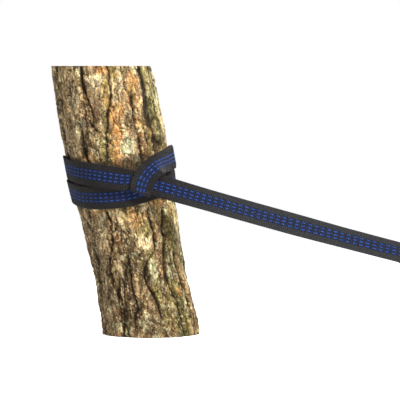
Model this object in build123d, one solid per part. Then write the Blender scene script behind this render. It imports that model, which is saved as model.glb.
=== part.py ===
"""A tree strap choked round a leaning length of trunk.

One length of flat webbing goes twice round the trunk, and its own running part passes
through the loop sewn at its end. The running part leads away, taut, to a second sewn
loop that holds a carabiner. Millimetres, +Z up, origin at the centre of the trunk's foot.

Two sets of coordinates are used. Places on the trunk are (angle, height, radius) about
its leaning axis: angle 0 faces -Y, +90 faces +X, and height runs along the axis. Places
on the running part are (along, across, out) from the point where it crosses the trunk.
"""

from build123d import *
import math
import os

os.makedirs("parts", exist_ok=True)

# Trunk
LEAN = 10.8  # the top leans towards -X
TRUNK_HEIGHT = 296.0
TRUNK_PROFILE = (
    (-20, 53.2),
    (75, 50.0),
    (136, 53.0),
    (152, 55.1),
    (168, 56.4),
    (190, 57.0),
    (215, 57.0),
    (320, 53.2),
)  # height along the axis and radius over the bark
BARK_THICKNESS = 5.0
TOP_SAW_TILT = 6.0  # the top was sawn a little lower at the front

# Webbing
WEB_WIDTH = 25.0
WEB_THICKNESS = 1.6
SEAT_GAP = 1.0  # slack between the webbing and the bark
PLY_PITCH = 2.0  # from one ply to the next where they are stacked
TRACER_WIDTH = 1.3
TRACER_THICKNESS = 0.2
TRACER_PITCH = 3.9

# Running part
CROSS_ANGLE = 5.0
CROSS_HEIGHT = 170.8
CROSS_RADIUS = 62.3
YAW = -5.0  # away from square to the trunk's front
LOOP_SLOPE = 0.390  # drop along the axis for each unit sideways, under the loop
TAIL_SLOPE = 0.492  # the same, beyond the loop
UNDER_LOOP_EDGES = (
    (0, -11.4, 12.3, 0),
    (9, -7.6, 11.9, 1),
    (20, -8.4, 12.0, 3),
    (31, -10.4, 12.2, 6),
    (42, -12.4, 12.4, 12),
)  # along, lower edge, upper edge, twist: the loop bunches the webbing
PIVOT_ALONG = UNDER_LOOP_EDGES[-1][0]
PIVOT_GAP = 3.4
TAIL_TWIST = ((0, 12), (45, 21), (150, 20.5), (200, 27), (272, 29))  # distance from the pivot, degrees
TACK_START, TACK_END = 272.0, 288.0
BIGHT_CENTRE = 313.0
LEG_PITCH = WEB_THICKNESS + 0.1  # between the two legs of the far loop where they are sewn
TACK_ROW, TACK_HEIGHT = 1.6, 0.3

# Carabiner
ROD_RADIUS = 2.6
BIGHT_RADIUS = ROD_RADIUS + 0.3 + WEB_THICKNESS / 2
CLIP_LENGTH, CLIP_HALF_WIDTH = 58.0, 18.0
NEAR_BEND, FAR_BEND = 6.0, 14.0
HINGE_AT, NOSE_AT = 12.0, 41.0
GATE_RADIUS = 2.3
PIN_RADIUS = 0.6

WEB_HALF = WEB_WIDTH / 2
PLY_HALF = WEB_THICKNESS / 2


# ---------------------------------------------------------------- places and directions
AXIS = Vector(-math.sin(math.radians(LEAN)), 0, math.cos(math.radians(LEAN)))
RIGHT = Vector(math.cos(math.radians(LEAN)), 0, math.sin(math.radians(LEAN)))
FRONT = Vector(0, -1, 0)


def smooth(points, x):
    """A smooth curve through a few (x, y) points, in increasing x."""
    if x <= points[0][0]:
        return points[0][1]
    if x >= points[-1][0]:
        return points[-1][1]
    i = max(k for k in range(len(points) - 1) if points[k][0] <= x)
    (x0, y0), (x1, y1) = points[i], points[i + 1]
    step = x1 - x0

    def slope(k):
        before, after = max(k - 1, 0), min(k + 1, len(points) - 1)
        return (points[after][1] - points[before][1]) / (points[after][0] - points[before][0])

    t = (x - x0) / step
    return (
        (2 * t**3 - 3 * t**2 + 1) * y0
        + (t**3 - 2 * t**2 + t) * step * slope(i)
        + (3 * t**2 - 2 * t**3) * y1
        + (t**3 - t**2) * step * slope(i + 1)
    )


def straight(points, x):
    """The same points joined by straight lines."""
    for (x0, y0), (x1, y1) in zip(points, points[1:]):
        if x <= x1:
            return y0 + (y1 - y0) * (x - x0) / (x1 - x0)
    return points[-1][1]


def bark_radius(height):
    return straight(TRUNK_PROFILE, height)


def on_trunk(angle, height, radius):
    a = math.radians(angle)
    return AXIS * height + RIGHT * (radius * math.sin(a)) + FRONT * (radius * math.cos(a))


def ply_radius(height, lift):
    """The middle of a ply that lies lift plies above the bark."""
    return bark_radius(height) + SEAT_GAP + PLY_HALF + PLY_PITCH * lift


def running_direction(slope):
    yaw = math.radians(YAW)
    return (RIGHT * math.cos(yaw) + FRONT * math.sin(yaw) - AXIS * (slope * math.cos(yaw))).normalized()


CROSSING = on_trunk(CROSS_ANGLE, CROSS_HEIGHT, CROSS_RADIUS)
UNDER_LOOP = running_direction(LOOP_SLOPE)
PIVOT = CROSSING + UNDER_LOOP * PIVOT_ALONG
TAIL = running_direction(TAIL_SLOPE)


def facing(along):
    """Across and out directions of flat webbing that runs along a direction."""
    across = (AXIS - along * AXIS.dot(along)).normalized()
    out = along.cross(across)
    return across, out if out.Y < 0 else -out


# ---------------------------------------------------------------- webbing
class Cut:
    """One cut across the webbing: its middle, its across and out directions, its width."""

    def __init__(self, middle, across, out, width=WEB_WIDTH):
        self.middle, self.across, self.out, self.width = middle, across, out, width

    def corners(self, low, high, inner, outer):
        return [
            self.middle + self.across * (a * self.width / WEB_WIDTH) + self.out * o
            for a, o in ((low, inner), (high, inner), (high, outer), (low, outer))
        ]


def band(cuts, low=-WEB_HALF, high=WEB_HALF, inner=-PLY_HALF, outer=PLY_HALF):
    """A flat band through a row of cuts."""
    outlines = [Wire.make_polygon(c.corners(low, high, inner, outer), close=True) for c in cuts]
    return Solid.make_loft(outlines, ruled=True)


def tracers(cuts, span=5):
    """The three coloured yarns on the outer face, each in short spans that meet end to end."""
    return [
        band(
            cuts[i : i + span + 1],
            row * TRACER_PITCH - TRACER_WIDTH / 2,
            row * TRACER_PITCH + TRACER_WIDTH / 2,
            PLY_HALF,
            PLY_HALF + TRACER_THICKNESS,
        )
        for i in range(0, len(cuts) - 1, span)
        for row in (-1, 0, 1)
    ]


def cut_between(low_edge, high_edge, along):
    """A cut whose two edges are given as points."""
    across = (high_edge - low_edge).normalized()
    out = along.cross(across).normalized()
    middle = (low_edge + high_edge) * 0.5
    if out.dot(middle - AXIS * middle.dot(AXIS)) < 0:
        out = -out
    return Cut(middle, across, out, (high_edge - low_edge).length)


def wrap_cuts(path, start, end, step=9.0):
    """Cuts along a path wound on the trunk, from angle start to angle end.

    path rows are (angle, height, lift in plies).
    """
    heights = [(a, h) for a, h, _ in path]
    lifts = [(a, n) for a, _, n in path]
    count = max(2, round((end - start) / step))
    cuts = []
    for i in range(count + 1):
        angle = start + (end - start) * i / count
        height, lift = smooth(heights, angle), straight(lifts, angle)
        radius = ply_radius(height, lift)
        rise = smooth(heights, angle + 1) - smooth(heights, angle - 1)
        pitch = math.atan2(rise, math.radians(2) * radius)
        edges = []
        for side in (-WEB_HALF, WEB_HALF):
            h = height + side * math.cos(pitch)
            a = angle - math.degrees(side * math.sin(pitch) / radius)
            edges.append(on_trunk(a, h, ply_radius(h, lift)))
        along = on_trunk(angle + 1, height + rise / 2, radius) - on_trunk(angle - 1, height - rise / 2, radius)
        cuts.append(cut_between(edges[0], edges[1], along))
    return cuts


# Paths round the trunk, as angle, height and lift. The strap runs from the crossing to
# the left, round behind and back in front lower down, round behind again and to the loop.
UPPER_PATH = (
    (-265, 161.0, 0),
    (-250, 161.5, 0),
    (-225, 164.5, 0),
    (-180, 181.0, 0),
    (-135, 194.5, 0),
    (-90, 199.0, 0),
    (-67, 194.2, 0),
    (-40, 186.6, 0.1),
    (-26, 182.4, 0.9),
    (-8, 176.0, 1.9),
)
LOWER_PATH = (
    (-266, 188.5, 1.1),
    (-225, 186.0, 1.1),
    (-180, 178.0, 1.1),
    (-135, 174.0, 1.1),
    (-102, 173.0, 1.1),
    (-90, 171.8, 0.6),
    (-70, 167.6, 0.1),
    (-48, 161.5, 0),
    (-25, 157.0, 0),
    (5, 154.1, 0),
    (19, 155.0, 0),
    (40, 157.0, 0),
    (60, 158.0, 0),
    (95, 161.0, 0),
)
# The end loop's front leg as pairs of edge places, (angle, height, radius), from the fold
# over the running part to the trunk's right side.
LOOP_EDGES = (
    ((25.4, 150.0, 69.9), (9.4, 161.2, 65.1)),
    ((28.1, 154.6, 70.2), (11.1, 168.7, 65.1)),
    ((30.8, 160.2, 71.7), (14.8, 175.4, 65.5)),
    ((34.4, 165.2, 73.8), (20.0, 180.8, 65.8)),
    ((38.6, 169.0, 77.0), (28.0, 186.6, 65.6)),
    ((48.0, 170.6, 69.4), (42.0, 192.4, 63.9)),
    ((60.0, 171.0, 64.3), (57.0, 195.6, 62.3)),
)
# How far the back leg lies beneath each of these, to let the running part through
LOOP_DROPS = (4.8, 5.0, 5.8, 6.6, 7.0, 4.0, 2.0)
LOOP_PATH = ((57, 183.3, 1.15), (70, 185.2, 1.1), (94, 188.5, 1.1))
LOOP_BACK_PATH = ((57, 183.3, 0.15), (70, 185.2, 0), (94, 188.5, 0), (112, 187.6, 0))


def loop_cuts(drops):
    """Cuts of a leg of the end loop near the fold, moved in towards the trunk by drops."""
    cuts = []
    for i, (low, high) in enumerate(LOOP_EDGES):
        edges = [on_trunk(a, h, r) for a, h, r in (low, high)]
        middle = (edges[0] + edges[1]) * 0.5
        before = LOOP_EDGES[max(i - 1, 0)]
        after = LOOP_EDGES[min(i + 1, len(LOOP_EDGES) - 1)]
        along = on_trunk(*after[0]) + on_trunk(*after[1]) - on_trunk(*before[0]) - on_trunk(*before[1])
        cut = cut_between(edges[0], edges[1], along)
        cut.middle = middle - cut.out * drops[i]
        cuts.append(cut)
    return cuts


def fold_cuts(front, back, turns=6):
    """Cuts round the half turn that joins two legs at their first cuts."""
    centre = (front.middle + back.middle) * 0.5
    out = (front.middle - centre).normalized()
    radius = (front.middle - centre).length
    away = front.across.cross(out)
    if away.dot(AXIS) > 0:
        away = -away
    cuts = []
    for i in range(turns + 1):
        a = math.pi * i / turns
        direction = out * math.cos(a) + away * math.sin(a)
        cuts.append(Cut(centre + direction * radius, front.across, direction, front.width))
    return cuts


def running_cut(origin, along, distance, twist, low=-WEB_HALF, high=WEB_HALF):
    """A cut of straight webbing, turned about its own length."""
    across, out = facing(along)
    a = math.radians(twist)
    turned = across * math.cos(a) - out * math.sin(a)
    middle = origin + along * distance + turned * ((low + high) / 2)
    return Cut(middle, turned, out * math.cos(a) + across * math.sin(a), high - low)


def tail_cut(distance):
    return running_cut(PIVOT, TAIL, distance, straight(TAIL_TWIST, distance))


END = tail_cut(TACK_START)


def end_place(along, out):
    """A place on the webbing's middle line at the far loop."""
    return PIVOT + TAIL * along + END.out * out


def end_loop_cuts():
    """Cuts round the far loop: out to the rod, round it and back to the bar tack."""
    centre_out = -LEG_PITCH / 2
    lean = math.asin((BIGHT_RADIUS - LEG_PITCH / 2) / (BIGHT_CENTRE - TACK_END))
    route = [(TACK_START, 0, 90.0), (TACK_END, 0, 90.0)]
    first = math.degrees(math.pi / 2 + lean)
    turns = 8
    for i in range(turns + 1):
        a = first - (2 * first) * i / turns
        route.append(
            (
                BIGHT_CENTRE + BIGHT_RADIUS * math.cos(math.radians(a)),
                centre_out + BIGHT_RADIUS * math.sin(math.radians(a)),
                a,
            )
        )
    route += [(TACK_END, -LEG_PITCH, -90.0), (TACK_START - 6, -LEG_PITCH, -90.0)]
    return [
        Cut(
            end_place(along, out),
            END.across,
            TAIL * math.cos(math.radians(a)) + END.out * math.sin(math.radians(a)),
        )
        for along, out, a in route
    ]


def bar_tack(cuts):
    """Dense stitching across the webbing, one small block for each of these cuts."""
    blocks = []
    for cut in cuts:
        plane = Plane(
            cut.middle + cut.out * (PLY_HALF + TACK_HEIGHT / 2),
            x_dir=cut.across.cross(cut.out),
            z_dir=cut.out,
        )
        blocks.append(plane.location * Box(TACK_ROW, WEB_WIDTH - 4, TACK_HEIGHT))
    return blocks


# ---------------------------------------------------------------- trunk
def trunk_solid(inset):
    outline = [(0, -20)] + [(r - inset, h) for h, r in TRUNK_PROFILE] + [(0, 320)]
    profile = Plane.XZ * make_face(Polyline(*outline, close=True))
    solid = Rot(0, -LEAN, 0) * revolve(profile, Axis.Z)
    keep = Pos(0, 0, TRUNK_HEIGHT / 2) * Box(400, 400, TRUNK_HEIGHT + 60)
    keep &= Pos(0, 0, 200) * Box(400, 400, 400)
    above = Pos(0, 0, TRUNK_HEIGHT) * Rot(TOP_SAW_TILT, 0, 0) * Pos(0, 0, 100) * Box(400, 400, 200)
    return (solid & keep) - above


def write(name, shapes):
    if not isinstance(shapes, (list, tuple)):
        shapes = [shapes]
    solids = [s for shape in shapes for s in shape.solids()]
    export_step(solids[0] if len(solids) == 1 else Compound(children=solids), f"parts/{name}.step")


# ---------------------------------------------------------------- carabiner
CLIP = Plane(end_place(BIGHT_CENTRE, -LEG_PITCH / 2), x_dir=TAIL, z_dir=END.out).location


def clip_frame():
    """The bent rod, from the gate's nose round to the hinge tab, with its tab."""
    w, length = CLIP_HALF_WIDTH, CLIP_LENGTH
    near, far = NEAR_BEND, FAR_BEND
    half_root = math.sqrt(0.5)
    bends = [
        Line((NOSE_AT, -w), (length - far, -w)),
        ThreePointArc(
            (length - far, -w),
            (length - far + far * half_root, -w + far - far * half_root),
            (length, -w + far),
        ),
        Line((length, -w + far), (length, w - far)),
        ThreePointArc(
            (length, w - far),
            (length - far + far * half_root, w - far + far * half_root),
            (length - far, w),
        ),
        Line((length - far, w), (near, w)),
        ThreePointArc((near, w), (near - near * half_root, w - near + near * half_root), (0, w - near)),
        Line((0, w - near), (0, near - w)),
        ThreePointArc((0, near - w), (near - near * half_root, near - w - near * half_root), (near, -w)),
        Line((near, -w), (HINGE_AT - 3, -w)),
    ]
    path = Wire(bends)
    rod = sweep(Plane((NOSE_AT, -w, 0), z_dir=(1, 0, 0)) * Circle(ROD_RADIUS), path=path)
    tab_length = HINGE_AT + 2 - (HINGE_AT - 4)
    tab = Pos(HINGE_AT - 4 + tab_length / 2, -w, 0) * Box(tab_length, 3.4, 1.8)
    hole = Pos(HINGE_AT, -w, 0) * Cylinder(PIN_RADIUS, 10)
    return rod + (tab - hole)


def clip_gate():
    w = CLIP_HALF_WIDTH
    reach = NOSE_AT - 0.35 - HINGE_AT
    rod = Pos(HINGE_AT + reach / 2, -w, 0) * Rot(0, 90, 0) * Cylinder(GATE_RADIUS, reach)
    rod += Pos(HINGE_AT, -w, 0) * Sphere(GATE_RADIUS)
    slot = Pos(HINGE_AT, -w, 0) * Box(6.4, 8, 2.2)
    bore = Pos(HINGE_AT + 10, -w, 0) * Rot(0, 90, 0) * Cylinder(1.35, 17)
    hole = Pos(HINGE_AT, -w, 0) * Cylinder(PIN_RADIUS + 0.05, 10)
    return rod - slot - bore - hole


def clip_pin():
    return Pos(HINGE_AT, -CLIP_HALF_WIDTH, 0) * Cylinder(PIN_RADIUS, 2 * GATE_RADIUS + 0.6)


def clip_plunger():
    start, length = HINGE_AT + 2.75, 3.4
    return Pos(start + length / 2, -CLIP_HALF_WIDTH, 0) * Rot(0, 90, 0) * Cylinder(1.0, length)


def clip_spring():
    length, radius, wire, turns = 12.0, 0.95, 0.2, 8
    start = HINGE_AT + 6.2 + wire
    helix = Helix(pitch=length / turns, height=length, radius=radius)
    section = Plane(origin=helix @ 0, z_dir=helix % 0) * Circle(wire)
    coil = sweep(section, path=helix, is_frenet=True)
    return Pos(start, -CLIP_HALF_WIDTH, 0) * Rot(0, 90, 0) * coil


# ---------------------------------------------------------------- build
wood = trunk_solid(BARK_THICKNESS)
write("trunk_wood", wood)
write("trunk_bark", trunk_solid(0) - wood)

front_upper = wrap_cuts(UPPER_PATH, -90, -8)
behind_upper = wrap_cuts(UPPER_PATH, -265, -90)
front_lower = wrap_cuts(LOWER_PATH, -90, 95)
behind_lower = wrap_cuts(LOWER_PATH, -266, -90)
front_lower[-1] = behind_upper[0]
loop_front = loop_cuts([0] * len(LOOP_EDGES)) + wrap_cuts(LOOP_PATH, 70, 85) + [behind_lower[0]]
loop_back = loop_cuts(LOOP_DROPS) + wrap_cuts(LOOP_BACK_PATH, 70, 112)
fold = fold_cuts(loop_front[0], loop_back[0])
under_loop = [front_upper[-1]] + [
    running_cut(CROSSING, UNDER_LOOP, d, twist, low, high) for d, low, high, twist in UNDER_LOOP_EDGES
]

stretches = {
    "strap_under_loop": under_loop,
    "upper_wrap_front": front_upper,
    "upper_wrap_behind": behind_upper,
    "lower_wrap_front": front_lower,
    "lower_wrap_behind": behind_lower,
    "end_loop_front_leg": loop_front,
    "end_loop_fold": fold,
    "end_loop_back_leg": loop_back,
}
for name, cuts in stretches.items():
    write(name, band(cuts))
write("upper_wrap_tracers", tracers(front_upper) + tracers(behind_upper) + tracers(under_loop))
write("lower_wrap_tracers", tracers(front_lower) + tracers(behind_lower))
write("end_loop_tracers", tracers(loop_front))
write("end_loop_bar_tack", bar_tack(wrap_cuts(LOWER_PATH, -263, -249, step=3.5)))

tail_distances = [PIVOT_GAP] + [TACK_START * i / 14 for i in range(1, 15)]
tail_cuts = [tail_cut(d) for d in tail_distances]
write("tail_webbing", band(tail_cuts))
write("tail_tracers", tracers(tail_cuts))
write("far_loop", band(end_loop_cuts()))
tack_places = [TACK_START + 2 + (TACK_END - TACK_START - 4) * i / 4 for i in range(5)]
far_tack_cuts = [Cut(end_place(d, 0), END.across, END.out) for d in tack_places]
write("far_loop_bar_tack", bar_tack(far_tack_cuts))

write("carabiner_frame", CLIP * clip_frame())
write("carabiner_gate", CLIP * clip_gate())
write("gate_pin", CLIP * clip_pin())
write("gate_plunger", CLIP * clip_plunger())
write("gate_spring", CLIP * clip_spring())
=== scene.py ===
"""The tree strap's looks: bark, woven webbing, yarn, thread and metal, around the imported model.

Lengths are in millimetres until a mesh is made. Places on the trunk are (angle, height,
radius) about its leaning axis: angle 0 faces -Y and +90 faces +X.
"""

import bpy
import math
import numpy as np
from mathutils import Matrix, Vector


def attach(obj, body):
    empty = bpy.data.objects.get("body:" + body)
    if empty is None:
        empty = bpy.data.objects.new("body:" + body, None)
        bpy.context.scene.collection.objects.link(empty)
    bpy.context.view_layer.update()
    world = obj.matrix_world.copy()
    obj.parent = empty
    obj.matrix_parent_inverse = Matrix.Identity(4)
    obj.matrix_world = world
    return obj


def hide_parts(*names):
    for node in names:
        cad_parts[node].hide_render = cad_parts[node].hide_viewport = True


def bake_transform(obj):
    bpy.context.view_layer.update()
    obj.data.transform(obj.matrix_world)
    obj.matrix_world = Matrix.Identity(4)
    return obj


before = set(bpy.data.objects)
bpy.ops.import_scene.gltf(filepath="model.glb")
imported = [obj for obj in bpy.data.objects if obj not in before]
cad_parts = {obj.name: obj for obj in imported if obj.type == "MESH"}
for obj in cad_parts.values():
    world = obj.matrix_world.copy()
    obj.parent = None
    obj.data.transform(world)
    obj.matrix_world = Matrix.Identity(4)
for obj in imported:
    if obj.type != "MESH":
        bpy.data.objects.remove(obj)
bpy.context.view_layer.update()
MM = 0.001

# ---------------- sizes, as in the part
LEAN = math.radians(10.8)
TRUNK_HEIGHT = 296.0
# height along the axis and radius over the bark
TRUNK_PROFILE = (
    (-20, 53.2), (75, 50.0), (136, 53.0), (152, 55.1), (168, 56.4), (190, 57.0), (215, 57.0), (320, 53.2),
)
TOP_SAW_TILT = math.radians(6.0)
WOOD_INSET = 5.0

WEB_WIDTH = 25.0
WEB_THICKNESS = 1.6
WEB_HALF = WEB_WIDTH / 2
PLY_HALF = WEB_THICKNESS / 2
SEAT_GAP = 1.0
PLY_PITCH = 2.0
TRACER_PITCH = 3.9

CROSSING = (5.0, 170.8, 62.3)
YAW = math.radians(-5.0)
LOOP_SLOPE = 0.390
TAIL_SLOPE = 0.492
UNDER_LOOP_EDGES = (
    (0, -11.4, 12.3, 0),
    (9, -7.6, 11.9, 1),
    (20, -8.4, 12.0, 3),
    (31, -10.4, 12.2, 6),
    (42, -12.4, 12.4, 12),
)  # along, lower edge, upper edge, twist
PIVOT_ALONG = 42.0
TAIL_TWIST = ((0, 12), (45, 21), (150, 20.5), (200, 27), (272, 29))
TAIL_SAG = 1.2  # a tight strap still hangs this much
TACK_START, TACK_END = 272.0, 288.0
BIGHT_CENTRE, BIGHT_RADIUS, LEG_PITCH = 313.0, 3.7, 1.7

# middles of the two wraps: angle, height and the number of plies beneath
UPPER_PATH = (
    (-265, 161.0, 0),
    (-250, 161.5, 0),
    (-225, 164.5, 0),
    (-180, 181.0, 0),
    (-135, 194.5, 0),
    (-90, 199.0, 0),
    (-67, 194.2, 0),
    (-40, 186.6, 0.1),
    (-26, 182.4, 0.9),
    (-8, 176.0, 1.9),
)
LOWER_PATH = (
    (-266, 188.5, 1.1),
    (-225, 186.0, 1.1),
    (-180, 178.0, 1.1),
    (-135, 174.0, 1.1),
    (-102, 173.0, 1.1),
    (-90, 171.8, 0.6),
    (-70, 167.6, 0.1),
    (-48, 161.5, 0),
    (-25, 157.0, 0),
    (5, 154.1, 0),
    (19, 155.0, 0),
    (40, 157.0, 0),
    (60, 158.0, 0),
    (95, 161.0, 0),
)
# the end loop's front leg: its two edges as (angle, height, radius), from the fold outwards
LOOP_EDGES = (
    ((25.4, 150.0, 69.9), (9.4, 161.2, 65.1)),
    ((28.1, 154.6, 70.2), (11.1, 168.7, 65.1)),
    ((30.8, 160.2, 71.7), (14.8, 175.4, 65.5)),
    ((34.4, 165.2, 73.8), (20.0, 180.8, 65.8)),
    ((38.6, 169.0, 77.0), (28.0, 186.6, 65.6)),
    ((48.0, 170.6, 69.4), (42.0, 192.4, 63.9)),
    ((60.0, 171.0, 64.3), (57.0, 195.6, 62.3)),
)
LOOP_DROPS = (4.8, 5.0, 5.8, 6.6, 7.0, 4.0, 2.0)  # from the front leg in to the back leg
LOOP_PATH = ((57, 183.3, 1.15), (70, 185.2, 1.1), (94, 188.5, 1.1))
LOOP_BACK_PATH = ((57, 183.3, 0.15), (70, 185.2, 0), (94, 188.5, 0), (112, 187.6, 0))

AXIS = np.array((-math.sin(LEAN), 0, math.cos(LEAN)))
RIGHT = np.array((math.cos(LEAN), 0, math.sin(LEAN)))
FRONT = np.array((0.0, -1, 0))


# ---------------- curves and places
def unit(v):
    return v / np.linalg.norm(v, axis=-1, keepdims=True)


def smooth(points, x):
    """A smooth curve through a few (x, y) points, at the values x."""
    px, py = (np.array([p[i] for p in points], float) for i in (0, 1))
    return hermite(px, py[:, None], x)[:, 0]


def hermite(knots, values, x):
    """Smooth values at x through rows of values at the knots."""
    x = np.clip(np.atleast_1d(np.asarray(x, float)), knots[0], knots[-1])
    last = len(knots) - 1
    before = np.clip(np.arange(last + 1) - 1, 0, last)
    after = np.clip(np.arange(last + 1) + 1, 0, last)
    slopes = (values[after] - values[before]) / (knots[after] - knots[before])[:, None]
    i = np.clip(np.searchsorted(knots, x, side="right") - 1, 0, last - 1)
    step = (knots[i + 1] - knots[i])[:, None]
    t = (x - knots[i])[:, None] / step
    return (
        (2 * t**3 - 3 * t**2 + 1) * values[i]
        + (t**3 - 2 * t**2 + t) * step * slopes[i]
        + (3 * t**2 - 2 * t**3) * values[i + 1]
        + (t**3 - t**2) * step * slopes[i + 1]
    )


def straight(points, x):
    """The same points joined by straight lines, at the values x."""
    return np.interp(x, [p[0] for p in points], [p[1] for p in points])


def bark_radius(height):
    """The trunk's radius over the bark, at heights along its axis."""
    return straight(TRUNK_PROFILE, height)


def on_trunk(angle, height, radius):
    """Places from the angle in degrees, the height along the axis and the radius from it."""
    a = np.radians(angle)
    height, radius = np.asarray(height, float), np.asarray(radius, float)
    return (
        AXIS * height[..., None]
        + RIGHT * (radius * np.sin(a))[..., None]
        + FRONT * (radius * np.cos(a))[..., None]
    )


def running_direction(slope):
    """The way the running part leads off, with this drop for each unit sideways."""
    return unit(RIGHT * math.cos(YAW) + FRONT * math.sin(YAW) - AXIS * (slope * math.cos(YAW)))


UNDER_LOOP = running_direction(LOOP_SLOPE)
TAIL = running_direction(TAIL_SLOPE)
CROSS_PLACE = on_trunk(*CROSSING)
PIVOT = CROSS_PLACE + UNDER_LOOP * PIVOT_ALONG


# ---------------- the strap's edges
# The whole strap is one row of (low edge, high edge) pairs, from the far loop's short leg
# through the tail, twice round the trunk and round the end loop to its sewn end.
def wrap_edges(path, start, end, step=4.5):
    """Edge pairs round the trunk, from one angle to another of an (angle, height, lift) path."""
    heights = [(a, h) for a, h, _ in path]
    lifts = [(a, n) for a, _, n in path]
    count = max(2, round(abs(end - start) / step))
    angle = np.linspace(start, end, count + 1)
    height = smooth(heights, angle)
    lift = straight(lifts, angle)
    radius = bark_radius(height) + SEAT_GAP + PLY_HALF + PLY_PITCH * lift
    rise = smooth(heights, angle + 1) - smooth(heights, angle - 1)
    pitch = np.arctan2(rise, math.radians(2) * radius)
    edges = []
    for side in (-WEB_HALF, WEB_HALF):
        h = height + side * np.cos(pitch)
        a = angle - np.degrees(side * np.sin(pitch) / radius)
        r = bark_radius(h) + SEAT_GAP + PLY_HALF + PLY_PITCH * lift
        edges.append(on_trunk(a, h, r))
    return np.stack(edges, 1)


def loop_edges(drops):
    """One leg of the end loop, set in towards the trunk by these drops."""
    pairs = np.stack([[on_trunk(*edge) for edge in pair] for pair in LOOP_EDGES])
    middle = pairs.mean(1)
    along = np.gradient(middle, axis=0)
    across = unit(pairs[:, 1] - pairs[:, 0])
    out = unit(np.cross(across, along))
    outward = middle - AXIS * (middle @ AXIS)[:, None]
    out *= np.sign((out * outward).sum(1))[:, None]
    return pairs - out[:, None] * np.array(drops)[:, None, None]


def fold_edges(front, back, turns=8):
    """Round the half turn between the first pairs of two legs."""
    centre = (front.mean(0) + back.mean(0)) / 2
    arm = front.mean(0) - centre
    across = unit(front[1] - front[0])
    away = unit(np.cross(across, arm))
    away *= -np.sign(away @ AXIS)
    half = (front[1] - front[0]) / 2
    pairs = []
    for i in range(1, turns):
        a = math.pi * i / turns
        middle = centre + arm * math.cos(a) + away * (np.linalg.norm(arm) * math.sin(a))
        pairs.append((middle - half, middle + half))
    return np.array(pairs)


def running_edges(origin, along, distance, twist, low=-WEB_HALF, high=WEB_HALF):
    """One edge pair on a straight line, at a distance along it and turned by a twist in degrees."""
    across = unit(AXIS - along * (AXIS @ along))
    out = np.cross(along, across)
    out *= -np.sign(out[1])
    a = math.radians(twist)
    turned = across * math.cos(a) - out * math.sin(a)
    middle = origin + along * distance
    return np.array((middle + turned * low, middle + turned * high))


def tail_edges(distances):
    """Edge pairs of the running part beyond the loop, at distances from its pivot."""
    twists = straight(TAIL_TWIST, distances)
    edges = np.array([running_edges(PIVOT, TAIL, d, t) for d, t in zip(distances, twists)])
    share = np.asarray(distances) / TACK_START
    edges[..., 2] -= (TAIL_SAG * 4 * share * (1 - share))[:, None]
    return edges


LEG_TAIL = 6.0  # of the short leg, left beyond its stitching
BIGHT_STEPS = 12


def far_loop_edges():
    """From the short leg's end, out to the rod, round it and back to the tail's end."""
    end = tail_edges([TACK_START])[0]
    across = unit(end[1] - end[0])
    out = np.cross(TAIL, across)
    out *= -np.sign(out[1])
    lean = math.asin((BIGHT_RADIUS - LEG_PITCH / 2) / (BIGHT_CENTRE - TACK_END))
    first = math.pi / 2 + lean
    route = [(at, -LEG_PITCH) for at in (TACK_START - LEG_TAIL, TACK_START + 5, TACK_END)]
    for i in range(BIGHT_STEPS + 1):
        a = -first + 2 * first * i / BIGHT_STEPS
        x, y = BIGHT_RADIUS * math.cos(a), BIGHT_RADIUS * math.sin(a)
        route.append((BIGHT_CENTRE + x, y - LEG_PITCH / 2))
    route += [(TACK_END, 0), (TACK_END - 8, 0)]
    return np.array(
        [
            [PIVOT + TAIL * d + out * o + across * side for side in (-WEB_HALF, WEB_HALF)]
            for d, o in route
        ]
    )


under = [running_edges(CROSS_PLACE, UNDER_LOOP, d, t, *edges) for d, *edges, t in UNDER_LOOP_EDGES]
front_leg = loop_edges([0] * len(LOOP_EDGES))
back_leg = loop_edges(LOOP_DROPS)
stretches = (
    ("far_loop", far_loop_edges()),
    ("tail", tail_edges(np.linspace(TACK_START, 18, 15))),
    ("running", np.concatenate((tail_edges([13.0, 6.0]), under[::-1]))),
    ("upper_front", wrap_edges(UPPER_PATH, -8, -90)),
    ("upper_behind", wrap_edges(UPPER_PATH, -94, -265)),
    ("lower_front", wrap_edges(LOWER_PATH, 92, -90)),
    ("lower_behind", wrap_edges(LOWER_PATH, -94, -266)),
    ("front_leg", np.concatenate((wrap_edges(LOOP_PATH, 88, 70), front_leg[::-1]))),
    ("fold", fold_edges(front_leg[0], back_leg[0])),
    ("back_leg", np.concatenate((back_leg, wrap_edges(LOOP_BACK_PATH, 70, 112)))),
)
RIB_PITCH = 1.9  # from one weft turn to the next
RINGS_A_RIB = 4
SMOOTHING_PASSES = 8
WARP_PITCH = 1.15


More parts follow.
